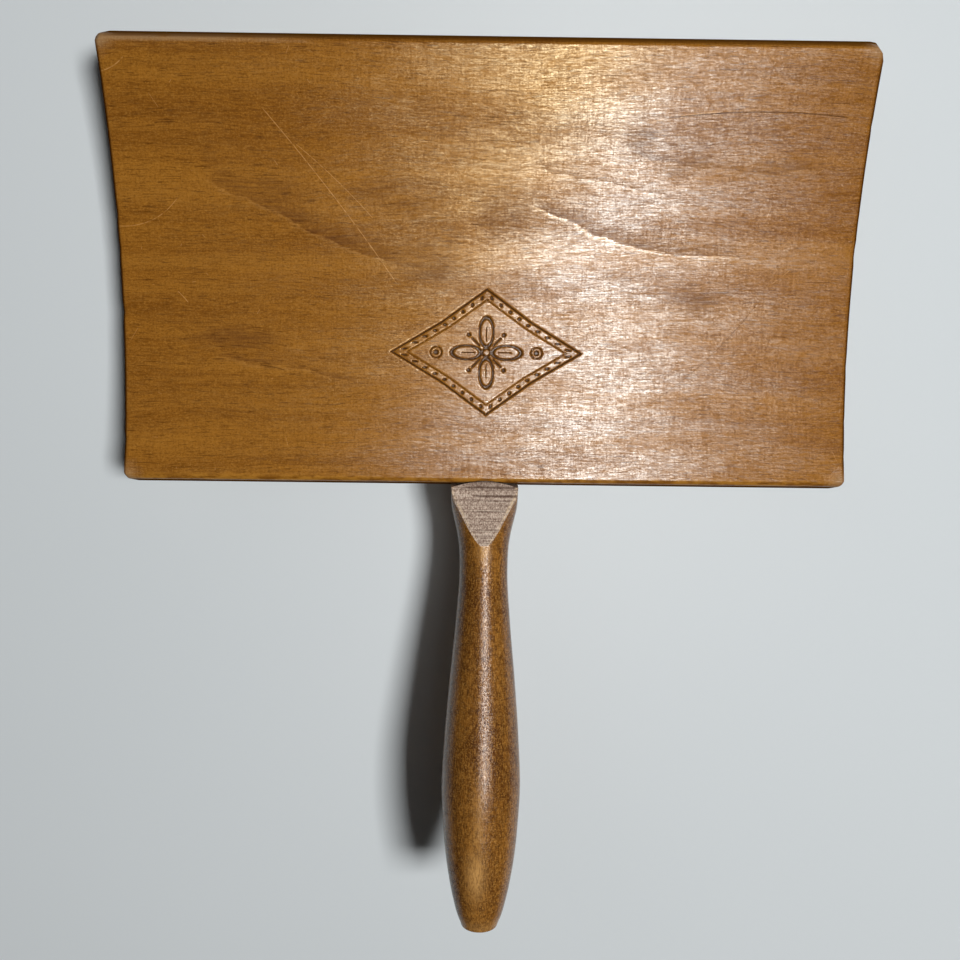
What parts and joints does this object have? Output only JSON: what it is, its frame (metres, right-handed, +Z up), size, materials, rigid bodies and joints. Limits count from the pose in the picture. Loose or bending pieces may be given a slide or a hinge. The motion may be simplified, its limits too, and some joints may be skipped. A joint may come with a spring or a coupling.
{
  "type": "wool hand card",
  "caption": "Curved wooden hand card for combing wool: a thin concave back, wire-toothed clothing underneath and a turned handle.",
  "frame": {"origin": "bottom centre of the whole card's box, on the surface that the tooth tips rest on", "axes": "+X along the board's width, +Y from the handle to the toe edge, +Z up and square to the chord of the curved board, so that the teeth point down"},
  "size_m": [0.2222, 0.2697, 0.0573],
  "materials": {
    "board_wood": "clear satin varnish, worn at the edges",
    "handle_wood": "darker stained and oiled, raw on the sawn flats of its shoulder",
    "foundation_fabric": "woven cotton plies, raw cut edge",
    "foundation_rubber": "dull grey rubber face",
    "tooth_wire": "fine drawn steel wire",
    "staple_wire": "galvanised staple wire"
  },
  "bodies": {
    "root": {"back_board": "board_wood", "handle": "handle_wood", "clothing_fabric": "foundation_fabric", "clothing_rubber": "foundation_rubber", "tooth_row_01": "tooth_wire", "tooth_row_02": "tooth_wire", "tooth_row_03": "tooth_wire", "tooth_row_04": "tooth_wire", "tooth_row_05": "tooth_wire", "tooth_row_06": "tooth_wire", "tooth_row_07": "tooth_wire", "tooth_row_08": "tooth_wire", "tooth_row_09": "tooth_wire", "tooth_row_10": "tooth_wire", "tooth_row_11": "tooth_wire", "tooth_row_12": "tooth_wire", "tooth_row_13": "tooth_wire", "tooth_row_14": "tooth_wire", "tooth_row_15": "tooth_wire", "tooth_row_16": "tooth_wire", "tooth_row_17": "tooth_wire", "tooth_row_18": "tooth_wire", "tooth_row_19": "tooth_wire", "tooth_row_20": "tooth_wire", "tooth_row_21": "tooth_wire", "tooth_row_22": "tooth_wire", "tooth_row_23": "tooth_wire", "tooth_row_24": "tooth_wire", "tooth_row_25": "tooth_wire", "tooth_row_26": "tooth_wire", "tooth_row_27": "tooth_wire", "tooth_row_28": "tooth_wire", "tooth_row_29": "tooth_wire", "tooth_row_30": "tooth_wire", "tooth_row_31": "tooth_wire", "tooth_row_32": "tooth_wire", "tooth_row_33": "tooth_wire", "tooth_row_34": "tooth_wire", "staples_toe": "staple_wire", "staples_heel": "staple_wire", "staples_left": "staple_wire", "staples_right": "staple_wire"}
  },
  "joints": []
}
